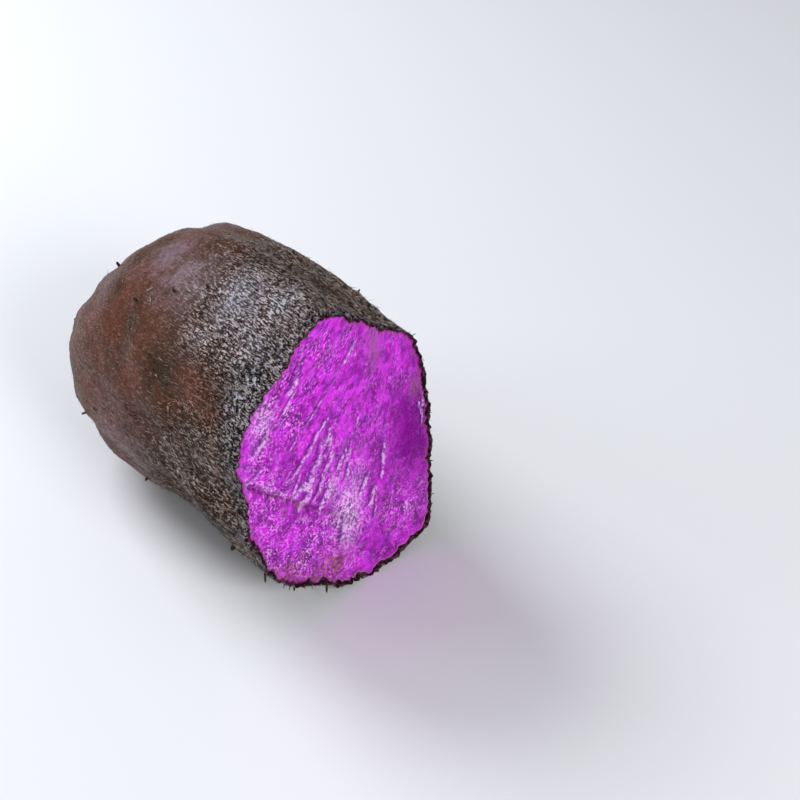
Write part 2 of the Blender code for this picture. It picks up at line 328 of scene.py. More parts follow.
def smooth_place(angle, s):
    """Points of the body without its small forms, from the middle of the cut."""
    angle, s = np.broadcast_arrays(np.asarray(angle, float), np.asarray(s, float))
    size = outline_factor(angle, s) * np.sqrt(np.clip(1 - s**BLUNTNESS, 0, None))
    across = HALF_WIDTH * (1 + growth(SWELL_WIDTH, s)) * size * np.cos(np.radians(angle))
    upward = HALF_HEIGHT * (1 + growth(SWELL_HEIGHT, s)) * size * np.sin(np.radians(angle))
    return spine(s) + np.stack([across, 0 * s, upward], axis=-1)


def outward(angle, s):
    """The direction straight out of the skin."""
    step = 0.001
    s = np.clip(s, step, 1 - 2 * step)
    around = smooth_place(angle + 1, s) - smooth_place(angle - 1, s)
    along = smooth_place(angle, s + step) - smooth_place(angle, s - step)
    way = np.cross(along, around)
    return way / np.linalg.norm(way, axis=-1, keepdims=True)


def draw_waves(rng, count, lengths, height, stretch):
    rows = []
    for _ in range(count):
        way = rng.normal(size=3)
        way = way / np.linalg.norm(way) * 2 * math.pi / rng.uniform(*lengths)
        way[1] *= stretch
        rows.append((way, rng.uniform(0, 2 * math.pi), height))
    return rows


def draw_scars(rng):
    """Root scars as on the solid: angle, s, place, radius and height."""
    rows = []
    while len(rows) < SCARS:
        angle = rng.uniform(0, 360)
        s = rng.uniform(0.06, 0.985)
        radius = rng.uniform(*SCAR_RADIUS)
        height = rng.uniform(*SCAR_HEIGHT)
        place = smooth_place(angle, s)
        if all(np.linalg.norm(place - other[2]) > SCAR_SPACING for other in rows):
            rows.append((angle, s, place, radius, height))
    return rows


def main_relief(place, angle, s):
    """The solid's own lumps, furrows and scars."""
    ground = place + np.array([0, 0, CUT_MIDDLE[2]])
    out = sum(height * np.cos(ground @ way + start) for way, start, height in UNEVEN)
    fade = smooth_step((1 - s) / FURROW_END)
    for k, times in enumerate(FURROWS):
        sway = FURROW_SWAY * np.sin(math.pi * s + k) + 2 * k
        out = out + FURROW_DEPTH * fade * np.cos(np.radians(times * angle) + sway)
    for _, _, middle, radius, height in SCAR_ROWS:
        out = out + height * hill(np.linalg.norm(place - middle, axis=-1), radius)
    return out


def noise_at(points, size, octaves=1, stretch=(1, 1, 1), shift=0.0):
    """Smooth noise from -1 to 1 on points in millimetres, with lumps of about that size."""
    flat = (points / (np.array(stretch) * size) + shift).reshape(-1, 3).tolist()
    if octaves == 1:
        found = [noise.noise(point) for point in flat]
    else:
        found = [noise.fractal(point, 1.0, 2.0, octaves) for point in flat]
    return np.array(found).reshape(points.shape[:-1])


def fine_relief(straight, from_cut):
    """Fibres along the body, and crumpled skin beside the cut."""
    beside = hill(from_cut, CRUMPLE_REACH)
    fibres = noise_at(straight, FIBRE_SIZE, 3, (1, FIBRE_STRETCH, 1))
    crumple = noise_at(straight, CRUMPLE_SIZE, 3, (1, CRUMPLE_STRETCH, 1), 4.0)
    bumps = noise_at(straight, RIM_BUMP_SIZE, 2, shift=9.0) * hill(from_cut, RIM_BUMP_REACH)
    fibres = fibres * (1 - FIBRE_LOSS * beside)
    return FIBRE_HEIGHT * fibres + CRUMPLE_HEIGHT * crumple * beside + RIM_BUMPS * bumps


def straightened(place, s):
    """The body's points as if its spine were straight, so patterns run along it."""
    s = np.broadcast_to(s, place.shape[:-1])
    return place - spine(s) + np.stack([0 * s, LENGTH * s, 0 * s], axis=-1)


def on_ground(place):
    """Row-frame points, pressed flat where they would reach under the ground."""
    place = place + CUT_MIDDLE
    place[..., 2] = np.maximum(place[..., 2], 0.0)
    return place


# ---- meshes -----------------------------------------------------------------------------------
def grid_faces(rings, around):
    """Quads between neighbouring rings, all the way round."""
    ring, step = np.meshgrid(np.arange(rings - 1), np.arange(around), indexing="ij")
    here, after = ring * around + step, ring * around + (step + 1) % around
    return np.stack([here, after, after + around, here + around], axis=-1).reshape(-1, 4).tolist()


def fan_faces(loop, tip):
    return [(loop[k], loop[(k + 1) % len(loop)], tip) for k in range(len(loop))]


def mesh_piece(name, points, faces, attributes=()):
    mesh = bpy.data.meshes.new(name)
    mesh.from_pydata((points * MM).tolist(), [], faces)
    for key, values in attributes:
        vector = values.ndim == 2
        made = mesh.attributes.new(key, "FLOAT_VECTOR" if vector else "FLOAT", "POINT")
        made.data.foreach_set("vector" if vector else "value", values.astype(np.float32).ravel())
    mesh.shade_smooth()
    mesh.update()
    obj = bpy.data.objects.new(name, mesh)
    bpy.context.scene.collection.objects.link(obj)
    return obj


def rim_places(angle):
    """The outer line of the skin's cut edge, from the middle of the cut."""
    rim = smooth_place(angle, 0.0)
    way = outward(angle, 0.0) * np.array([1, 0, 1])
    relief = main_relief(rim, angle, 0.0) + fine_relief(rim, 0 * angle)
    return rim + way * relief[..., None]


def rim_thickness(angle, edge):
    thicker = sum(share * hill(turn(angle, at), width) for at, width, share in RIM_THICKER)
    even = RIM_THICKNESS * (RIM_THIN + thicker)
    nicks = sum(depth * hill(turn(angle, at), width) for at, width, depth in RIM_NICKS)
    return even * (1 + RAGGED * noise_at(edge, RAGGED_SIZE, 4, shift=3.0)) + nicks


def rim_rows(angle, edge):
    """Rings from the skin's cut edge inward, and how much each looks cut."""
    thickness = rim_thickness(angle, edge)
    size = np.linalg.norm(edge, axis=-1)
    ripple = RAGGED * noise_at(edge, RAGGED_SIZE / 2, 2, shift=8.0)
    rows = []
    looks_cut = []
    for share, back, band in RIM_PROFILE:
        row = edge * (1 - share * thickness / size)[:, None]
        row[:, 1] = back + ripple * (share < 1)
        rows.append(row)
        looks_cut.append(np.full(SKIN_ROUND, band))
    return rows, looks_cut


def skin_piece():
    """The outer skin from the grown end to the cut edge, closed by a disc that the flesh hides."""
    angle = np.arange(SKIN_ROUND) * 360 / SKIN_ROUND
    ring = np.arange(1, SKIN_RINGS + 1)
    turns, shares = np.meshgrid(angle, 1 - (ring / SKIN_RINGS) ** RING_CROWDING)
    place = smooth_place(turns, shares)
    straight = straightened(place, shares)
    relief = main_relief(place, turns, shares) + fine_relief(straight, LENGTH * shares)
    way = outward(turns, shares)
    way[-1, :, 1] = 0
    place = place + way * relief[..., None]
    rows, looks_cut = rim_rows(angle, place[-1])
    disc = place[-1] * DISC_SHARE
    disc[:, 1] = FLESH_BACK + DISC_BEHIND
    tip = [place[0, :, 0].mean(), LENGTH, place[0, :, 2].mean()]
    middle = [0, FLESH_BACK + DISC_BEHIND, 0]
    points = np.vstack([place.reshape(-1, 3), *rows, disc, [tip], [middle]])
    patterns = np.vstack([straight.reshape(-1, 3), *rows, disc, [[0, LENGTH, 0]], [[0, 0, 0]]])
    looks_cut = np.concatenate([np.zeros(shares.size), *looks_cut, np.ones(SKIN_ROUND), [0, 1]])
    crisp = np.full(len(points), CRISP_AT_RIM)
    reach = np.interp(angle, *np.transpose(CRISP_REACH), period=360)
    crisp[: shares.size] = (LENGTH * (reach - shares)).ravel()
    crisp[-2] = -LENGTH  # the tip
    total = SKIN_RINGS + len(rows) + 1
    first = list(range(SKIN_ROUND))
    last = list(range((total - 1) * SKIN_ROUND, total * SKIN_ROUND))
    faces = grid_faces(total, SKIN_ROUND)
    faces += fan_faces(first[::-1], total * SKIN_ROUND)
    faces += fan_faces(last, total * SKIN_ROUND + 1)
    attributes = [("straight", patterns), ("rim", looks_cut), ("crisp", crisp), *marks_at(points)]
    return mesh_piece("yam_skin", on_ground(points), faces, attributes)


def marks_at(points):
    """How strongly each point has each of the skin's marks."""
    seeded = seeded_marks()
    rows = []
    for name, spots in SKIN_MARKS.items():
        cover = patches(points, spots + seeded.get(name, []))
        rows.append((name, np.clip(cover, 0, 1)))
    return rows


def seeded_marks():
    """Patches of seeded place and kind, in the same terms as the skin's marks."""
    draw = np.random.default_rng(SEED + 2)
    rows = {}
    for _ in range(SEEDED_MARKS):
        kind = SEEDED_KINDS[draw.integers(len(SEEDED_KINDS))]
        radius = draw.uniform(*(SEEDED_RED_RADIUS if kind == "red" else SEEDED_RADIUS))
        angle = draw.uniform(*SEEDED_ANGLES)
        s = draw.uniform(*SEEDED_ALONG)
        rows.setdefault(kind, []).append((angle, s, radius, draw.uniform(*SEEDED_SHARE)))
    return rows


def patches(points, spots):
    """How strongly each point is covered by soft patches, given as angle, s, radius and share."""
    wobble = 1 + MARK_WOBBLE * noise_at(points, MARK_WOBBLE_SIZE, 2, shift=12.0)
    out = np.zeros(len(points))
    for angle, s, radius, share in spots:
        distance = np.linalg.norm(points - smooth_place(angle, s), axis=-1)
        out = np.maximum(out, share * hill(distance * wobble, radius))
    return out


def streak_frame(x, z):
    """Distances across and along the streaks, which meet above the face."""
    down = STREAK_MEETING[1] - z
    aside = x - STREAK_MEETING[0]
    return np.arctan2(aside, down) * STREAK_MEETING[1], np.hypot(aside, down)


def crease_height(x):
    run = x - CREASE_LEFT[0]
    return CREASE_LEFT[1] + CREASE_SLOPE * run + CREASE_WAVE[0] * np.sin(2 * math.pi * run / CREASE_WAVE[1])


def crease_fade(x, end):
    """1 along the crease, falling to 0 at its right end."""
    return smooth_step(end * (1 - (x - CREASE_LEFT[0]) / CREASE_LENGTH))


def face_relief(x, z):
    """The solid's own streaks and crease."""
    across, away = streak_frame(x, z)
    out = 0.0
    for k, (spacing, height, length) in enumerate(STREAKS):
        sway = STREAK_SWAY * np.sin(2 * math.pi * away / length + 2 * k)
        crest = np.cos(2 * math.pi * across / spacing + sway)
        breaks = np.cos(2 * math.pi * away / (BREAK_SPACING * spacing) + across / BREAK_SLANT + k)
        out = out + height * (crest + STREAK_BREAKS * breaks)
    return out - CREASE_DEPTH * hill(z - crease_height(x), CREASE_WIDTH) * crease_fade(x, CREASE_END)


def zones(x, z, rows):
    """How much a place of the face belongs to soft-edged zones."""
    cover = [share * np.exp(-(((x - at_x) / wide) ** 2) - ((z - at_z) / tall) ** 2)
             for at_x, at_z, wide, tall, share in rows]
    return np.max(cover, axis=0)


def torn_ridges(x, z, rng):
    """Short tapered ridges along the streaks, at seeded places in their zones, and the shade beside them."""
    out = np.zeros_like(x)
    shade = np.zeros_like(x)
    wobble = noise_at(np.stack([x, 0 * x, z], axis=-1), TORN_WOBBLE_SIZE, 2, shift=6.0)
    made = 0
    while made < TORN:
        at_x = rng.uniform(*TORN_ACROSS)
        at_z = rng.uniform(*TORN_UP)
        length = rng.uniform(*TORN_LENGTH)
        width = rng.uniform(*TORN_WIDTH)
        height = rng.uniform(*TORN_HEIGHT)
        stray = rng.normal() * TORN_STRAY
        bow = rng.normal() * TORN_BOW
        if rng.uniform() > zones(at_x, at_z, TORN_ZONES):
            continue
        made += 1
        way = math.atan2(STREAK_MEETING[1] - at_z, STREAK_MEETING[0] - at_x) + math.radians(stray)
        along = (x - at_x) * math.cos(way) + (z - at_z) * math.sin(way)
        near = np.nonzero(np.abs(along) < length)
        along = along[near]
        off = (z[near] - at_z) * math.cos(way) - (x[near] - at_x) * math.sin(way) + bow * along**2 / length
        off = off + TORN_WOBBLE * wobble[near]
        ends = smooth_step(TORN_TAPER[0] - TORN_TAPER[1] * np.abs(along) / length)
        out[near] = np.maximum(out[near], height * hill(off, width) * ends)
        shade[near] = np.maximum(shade[near], hill(off - TORN_SHADE * width, width) * ends)
    return out, shade


def face_grid():
    """An even grid that fills the skin's cut edge: each point's place across and up, its share of the
    way out from the middle, its bearing and its distance from the rim."""
    angle = np.arange(0, 360, FLESH_EDGE_STEP)
    edge = rim_places(angle)
    size = np.linalg.norm(edge, axis=-1)
    edge = edge * (1 - (rim_thickness(angle, edge) - FLESH_TUCK) / size)[:, None]
    steps = np.linspace(-1, 1, FLESH_GRID + 1)
    a, b = np.meshgrid(steps, steps)
    share = np.maximum(np.abs(a), np.abs(b))
    wide = np.abs(a) > np.abs(b)
    bearing = np.where(wide, b / np.where(a == 0, 1, a), 2 - a / np.where(b == 0, 1, b)) * 45
    bearing = (bearing + np.where(np.where(wide, a, b) < 0, 180, 0)) % 360
    x = share * np.interp(bearing, angle, edge[:, 0], period=360)
    z = share * np.interp(bearing, angle, edge[:, 2], period=360)
    from_rim = (1 - share) * np.interp(bearing, angle, size, period=360)
    return x, z, share, bearing, from_rim


def grains_at(x, z):
    """How much the flesh is torn into grains: in its zones, and below the crease on the left."""
    below = smooth_step((crease_height(x) - z) / GRAINS_BELOW_OVER)
    left = smooth_step((GRAINS_LEFT_OF - x) / GRAINS_LEFT_OVER)
    return np.maximum(zones(x, z, GRAIN_ZONES), GRAINS_BELOW * (below * left))


def fold_and_lip(x, z, mottle):
    """The sharp bottom of the crease, and the ridge above it: masks for their relief, and for the painted
    shade in the crease and the painted highlight on the ridge.
    """
    above = z - crease_height(x)
    fold = hill(-above + FOLD_WOBBLE * mottle, FOLD_WIDTH) * crease_fade(x, FOLD_END)
    lip = hill(above - LIP_ABOVE + FOLD_WOBBLE * mottle, LIP_WIDTH)
    lip = lip * smooth_step((x - LIP_START) / LIP_START_OVER) * smooth_step((LIP_END - x) / LIP_END_OVER)
    return fold, lip


def grid_border(side):
    """The outer points of a square grid, in order round it."""
    bottom = range(side)
    right = range(2 * side - 1, side * side, side)
    top = range(side * side - 2, side * side - side - 1, -1)
    left = range(side * side - 2 * side, 0, -side)
    return [*bottom, *right, *top, *left]


def closed_face(front, side):
    """A square grid of points closed by a flat back: all points, and faces that look out."""
    border = grid_border(side)
    back = front[border] * FLESH_TAPER
    back[:, 1] = FLESH_BACK
    row, column = np.meshgrid(np.arange(side - 1), np.arange(side - 1), indexing="ij")
    corner = row * side + column
    faces = np.stack([corner, corner + 1, corner + side + 1, corner + side], axis=-1).reshape(-1, 4).tolist()
    first = side * side
    around = len(border)
    for k in range(around):
        after = (k + 1) % around
        faces.append((border[after], border[k], first + k, first + after))
    faces += fan_faces(list(range(first, first + around))[::-1], first + around)
    return np.vstack([front, back, [[0, FLESH_BACK, 0]]]), faces


def flesh_piece():
    """The cut flesh: its wet, streaked face on an even grid, closed by a flat back inside the body."""
    x, z, share, bearing, from_rim = face_grid()
    across, away = streak_frame(x, z)
    streaked = np.stack([across, 0 * x, away], axis=-1)
    torn, shade = torn_ridges(x, z, np.random.default_rng(SEED + 1))
    grains = grains_at(x, z)
    calm_and_shadow = np.clip(zones(x, z, CALM_SHADOW_ZONES), 0, 1)
    mottle = noise_at(streaked, MOTTLE_SIZE, 3, (1, 1, MOTTLE_STRETCH), 2.0)
    grain = noise_at(np.stack([x, 0 * x, z], axis=-1), GRAIN_SIZE, 2, shift=4.0)
    fold, lip = fold_and_lip(x, z, mottle)
    raised = torn + MOTTLE_HEIGHT * mottle * (1 - MOTTLE_LOSS * calm_and_shadow)
    raised = raised + GRAIN_HEIGHT * grain * (GRAIN_LEAST + grains)
    raised = raised - FOLD_DEPTH * fold + LIP_HEIGHT * lip
    weaker = STREAKS_WEAKER * smooth_step((x - STREAKS_WEAKER_FROM) / STREAKS_WEAKER_OVER)
    streaks = face_relief(x, z) * smooth_step((1 - share) / STREAK_START) * (1 - weaker)
    rise = FACE_BOW * (1 - share**2) + streaks + raised * smooth_step(from_rim / RELIEF_START)
    front = np.stack([x, RIM_STEP - rise, z], axis=-1).reshape(-1, 3)
    points, faces = closed_face(front, FLESH_GRID + 1)
    hidden = len(points) - len(front)
    fields = {
        "from_rim": from_rim,
        "torn": torn,
        "shade": shade,
        "fold": fold,
        "lip": lip,
        "calm_and_shadow": calm_and_shadow,
        "grains": grains,
        "streaky": zones(x, z, STREAKY_ZONES),
        "glints_and_cortex": zones(x, z, GLINT_AND_CORTEX_ZONES),
        "grey": zones(x, z, GREY_ZONES),
        "brown": zones(x, z, BROWN_ZONES),
        "edge_highlight": hill(turn(bearing, EDGE_HIGHLIGHT[0]), EDGE_HIGHLIGHT[1]),
    }
    attributes = [(key, np.concatenate([values.ravel(), np.zeros(hidden)])) for key, values in fields.items()]
    attributes.append(("streaked", np.vstack([streaked.reshape(-1, 3), np.zeros((hidden, 3))])))
    return mesh_piece("yam_flesh", on_ground(points), faces, attributes)


def skin_surface(angle, s):
    """Points of the finished skin, from the middle of the cut."""
    place = smooth_place(angle, s)
    relief = main_relief(place, angle, s) + fine_relief(straightened(place, s), LENGTH * s)
    return place + outward(angle, s) * relief[..., None]


def tapered(foot, middle, tip, radius, out):
    """Three-sided hairs from foot to tip: the points of each, seven in a row."""
    way = tip - foot
    side = np.cross(way, out)
    side = side / np.linalg.norm(side, axis=-1, keepdims=True)
    rise = np.cross(side, way)
    rise = rise / np.linalg.norm(rise, axis=-1, keepdims=True)
    rows = []
    for centre, thickness in ((foot, 1.0), (middle, SPIKE_MIDDLE)):
        for corner in np.radians(SPIKE_CORNERS):
            ring = math.cos(corner) * side + math.sin(corner) * rise
            rows.append(centre + ring * (radius * thickness)[:, None])
    return np.stack([*rows, tip], axis=1)


def hairs(rng):
    """Fine hairs that lie along the skin, dense from the cut to the middle and thin on the grown end."""
    angle = rng.uniform(0, 360, HAIRS)
    s = rng.uniform(*HAIRS_ALONG, HAIRS)
    length = rng.uniform(*HAIR_LENGTH, HAIRS)
    radius = rng.uniform(*HAIR_RADIUS, HAIRS)
    turned = np.radians(rng.normal(0, HAIR_TURN, HAIRS))
    turned = turned + math.pi * (rng.uniform(size=HAIRS) < HAIRS_BACKWARD)
    dense = smooth_step((HAIRS_THIN_BY - s) / HAIRS_THIN_OVER)
    kept = rng.uniform(size=HAIRS) < HAIRS_AT_END + (1 - HAIRS_AT_END) * dense
    tone = rng.uniform(size=HAIRS)
    pale = np.where(tone < DARK_HAIRS, DARK_TONES * tone, PALE_TONES[0] + PALE_TONES[1] * tone)
    angle, s, length, radius, turned, pale = (row[kept] for row in (angle, s, length, radius, turned, pale))
    long = rng.uniform(size=len(s)) < LONG_HAIRS
    length = np.where(long, LONG_HAIR_LENGTH * length, length)
    radius = np.where(long, LONG_HAIR_RADIUS * radius, radius)
    pale = np.where(long, 1, pale)
    length = length * np.clip((s * LENGTH + 1) / SHORT_HAIRS, SHORTEST, 1)
    toward_cut = -length * np.cos(turned) / LENGTH
    round_body = np.degrees(length * np.sin(turned) / HALF_HEIGHT)
    out = outward(angle, s)
    foot = skin_surface(angle, s) - HAIR_SUNK * out
    middle = skin_surface(angle + round_body / 2, np.maximum(s + toward_cut / 2, NEAREST_CUT))
    middle = middle + HAIR_MIDDLE * out
    lifted = HAIR_RISE * length * (HAIR_RISES[0] + rng.uniform(size=len(s)) ** 3 * HAIR_RISES[1])
    tip = skin_surface(angle + round_body, np.maximum(s + toward_cut, NEAREST_CUT)) + lifted[:, None] * out
    return tapered(foot, middle, tip, radius, out), pale


def pale_hairs():
    """A few long pale hairs at given places."""
    angle, s, length, aside = np.transpose(PALE_HAIRS)
    along = length / LENGTH
    out = outward(angle, s)
    foot = skin_surface(angle, s) - HAIR_SUNK * out
    middle = skin_surface(angle + PALE_HAIR_MIDDLE * aside, s - along / 2) + PALE_HAIR_MIDDLE * out
    tip = skin_surface(angle + aside, s - along) + PALE_HAIR_TIP * out
    return tapered(foot, middle, tip, np.full(len(s), PALE_HAIR_RADIUS), out), np.ones(len(s))


def fringe(rng):
    """Stiffer hairs that stand out round the skin's cut edge."""
    angle = rng.uniform(0, 360, FRINGE)
    s = rng.uniform(*FRINGE_ALONG, FRINGE)
    length = rng.uniform(*FRINGE_LENGTH, FRINGE)[:, None]
    radius = rng.uniform(*FRINGE_RADIUS, FRINGE)
    way = outward(angle, s) + rng.normal(0, FRINGE_LEAN, (FRINGE, 3)) - np.array([0, FRINGE_FORWARD, 0])
    way = way / np.linalg.norm(way, axis=-1, keepdims=True)
    place = skin_surface(angle, s)
    bend = rng.normal(0, FRINGE_BEND, (FRINGE, 3)) * length
    middle = place + FRINGE_MIDDLE * length * way + bend
    points = tapered(place - FRINGE_SUNK * way, middle, place + length * way, radius, np.cross(way, ASIDE))
    return points, rng.uniform(size=FRINGE) ** 2


def rootlets(rng):
    """The solid's broken rootlets, at its root scars, and the broken roots at the rim."""
    rows = []
    for angle, s, _, _, _ in SCAR_ROWS:
        place = skin_surface(np.array([angle]), np.array([s]))[0]
        if place[2] + CUT_MIDDLE[2] > ROOTLET_CLEARANCE:
            way = outward(angle, s) + rng.uniform(-ROOTLET_LEAN, ROOTLET_LEAN, size=3)
            way = way / np.linalg.norm(way)
            radius = rng.uniform(*ROOTLET_RADIUS)
            rows.append((place, way, radius, rng.uniform(*ROOTLET_LENGTH)))
    stub_way = np.array(RIM_STUB_WAY) / np.linalg.norm(RIM_STUB_WAY)
    for angle, length in RIM_STUBS:
        place = skin_surface(np.array([angle]), np.array([RIM_STUB_ALONG]))[0]
        rows.append((place, stub_way, RIM_STUB_RADIUS, length))
    place, way, radius, length = (np.array(column) for column in zip(*rows))
    length = length[:, None]
    middle = place + ROOTLET_MIDDLE * length * way
    points = tapered(place - ROOTLET_SUNK * way, middle, place + length * way, radius, np.cross(way, ASIDE))
    return points, np.full(len(rows), ROOTLET_TONE)


def hairs_piece(rng):
    """All hairs and rootlets, each a thin closed spike whose foot is in the skin."""
    groups = [rootlets(rng), hairs(rng), fringe(rng), pale_hairs()]
    points = np.vstack([group[0] for group in groups])
    pale = np.concatenate([group[1] for group in groups])
    above = points[:, 0, 2] + CUT_MIDDLE[2] > LEAST_CLEARANCE
    points, pale = points[above], pale[above]
    count = points.shape[1]
    first = count * np.arange(len(points))[:, None]
    faces = []
    for corners in ((0, 1, 4, 3), (1, 2, 5, 4), (2, 0, 3, 5), (3, 4, 6), (4, 5, 6), (5, 3, 6), (0, 2, 1)):
        faces += (first + np.array(corners)).tolist()
    attributes = [("pale", np.repeat(pale, count))]
    return mesh_piece("root_hairs", on_ground(points.reshape(-1, 3)), faces, attributes)


# ---- materials --------------------------------------------------------------------------------
def colour(red, green, blue):
    """An sRGB colour as Blender's linear one."""
    def linear(value):
        value /= 255
        return value / 12.92 if value <= 0.04045 else ((value + 0.055) / 1.055) ** 2.4
    return (linear(red), linear(green), linear(blue), 1.0)


class Material:
    """A material with short calls for its nodes."""

    def __init__(self, name):
        self.material = bpy.data.materials.new(name)
        self.material.use_nodes = True
        self.tree = self.material.node_tree
        self.shader = self.tree.nodes["Principled BSDF"]

    def put(self, socket, value):
        if isinstance(value, bpy.types.NodeSocket):
            self.tree.links.new(value, socket)
        else:
            socket.default_value = value

    def node(self, kind, settings=None, inputs=None):
        made = self.tree.nodes.new(kind)
        for key, value in (settings or {}).items():
            setattr(made, key, value)
        for key, value in (inputs or {}).items():
            self.put(made.inputs[key], value)
        return made

    def attribute(self, name, output="Fac"):
        return self.node("ShaderNodeAttribute", {"attribute_name": name}).outputs[output]

    def millimetres(self):
        """The piece's own coordinates, in millimetres."""
        place = self.node("ShaderNodeTexCoord").outputs["Object"]
        return self.stretched(place, (1 / MM, 1 / MM, 1 / MM))

    def stretched(self, vector, scale, shift=(0, 0, 0)):
        inputs = {"Vector": vector, "Scale": scale, "Location": shift}
        return self.node("ShaderNodeMapping", None, inputs).outputs["Vector"]

    def noise(self, vector, scale, detail=2.0, roughness=0.5, distortion=0.0):
        inputs = {"Vector": vector, "Scale": scale, "Detail": detail, "Roughness": roughness,
                  "Distortion": distortion}
        return self.node("ShaderNodeTexNoise", None, inputs).outputs["Fac"]

    def remap(self, value, low, high, to_low=0.0, to_high=1.0):
        inputs = {"Value": value, "From Min": low, "From Max": high, "To Min": to_low, "To Max": to_high}
        return self.node("ShaderNodeMapRange", {"interpolation_type": "SMOOTHSTEP"}, inputs).outputs["Result"]

    def math(self, operation, first, second=0.0):
        made = self.node("ShaderNodeMath", {"operation": operation})
        self.put(made.inputs[0], first)
        self.put(made.inputs[1], second)
        return made.outputs[0]

    def times(self, first, second):
        return self.math("MULTIPLY", first, second)

    def plus(self, first, second):
        return self.math("ADD", first, second)

    def total(self, *terms):
        """The sum of the values, each times its weight."""
        out = 0.0
        for value, weight in terms:
            out = self.plus(out, self.times(value, weight))
        return out

    def mix(self, first, second, factor):
        made = self.node("ShaderNodeMix", {"data_type": "RGBA"})
        self.put(made.inputs[0], factor)
        self.put(made.inputs[6], first)
        self.put(made.inputs[7], second)
        return made.outputs[2]

    def layers(self, base, rows):
        """Colours laid over the base one after another, each with its cover from 0 to 1."""
        for tint, cover in rows:
            base = self.mix(base, tint, cover)
        return base

    def axis(self, vector, name):
        return self.node("ShaderNodeSeparateXYZ", None, {"Vector": vector}).outputs[name]

    def bump(self, height, distance, strength=1.0):
        inputs = {"Height": height, "Distance": distance, "Strength": strength}
        return self.node("ShaderNodeBump", None, inputs).outputs["Normal"]

    def finish(self, **sockets):
        for key, value in sockets.items():
            self.put(self.shader.inputs[key.replace("_", " ")], value)
        return self.material


def skin_ground(m, broad, blotch, fleck):
    """The smooth skin: brown with reddish and olive clouds, and the skin's marks."""
    hazy = m.remap(m.plus(blotch, fleck), 0.80, 1.12, 0.3, 0.95)
    return m.layers(colour(84, 52, 40), (
        (colour(110, 65, 50), m.remap(blotch, 0.38, 0.66)),
        (colour(64, 48, 35), m.remap(broad, 0.60, 0.40, 0.0, 0.55)),
        # grey-lilac bloom, a painted sheen on the top and a painted reflection low on the flank
        (colour(132, 112, 122), m.times(m.attribute("bloom_and_sheen"), hazy)),
        (colour(106, 58, 42), m.times(m.attribute("rusty"), m.remap(fleck, 0.42, 0.60, 0.1, 0.8))),
        # dark patches, and on the top right a painted shade
        (colour(50, 42, 31), m.times(m.attribute("dark"), 0.85)),
        (colour(136, 50, 54), m.times(m.attribute("red"), m.remap(fleck, 0.48, 0.60, 0.0, 0.7))),
        (colour(92, 60, 112), m.times(m.attribute("violet"), m.remap(fleck, 0.46, 0.60, 0.0, 0.6))),
    ))


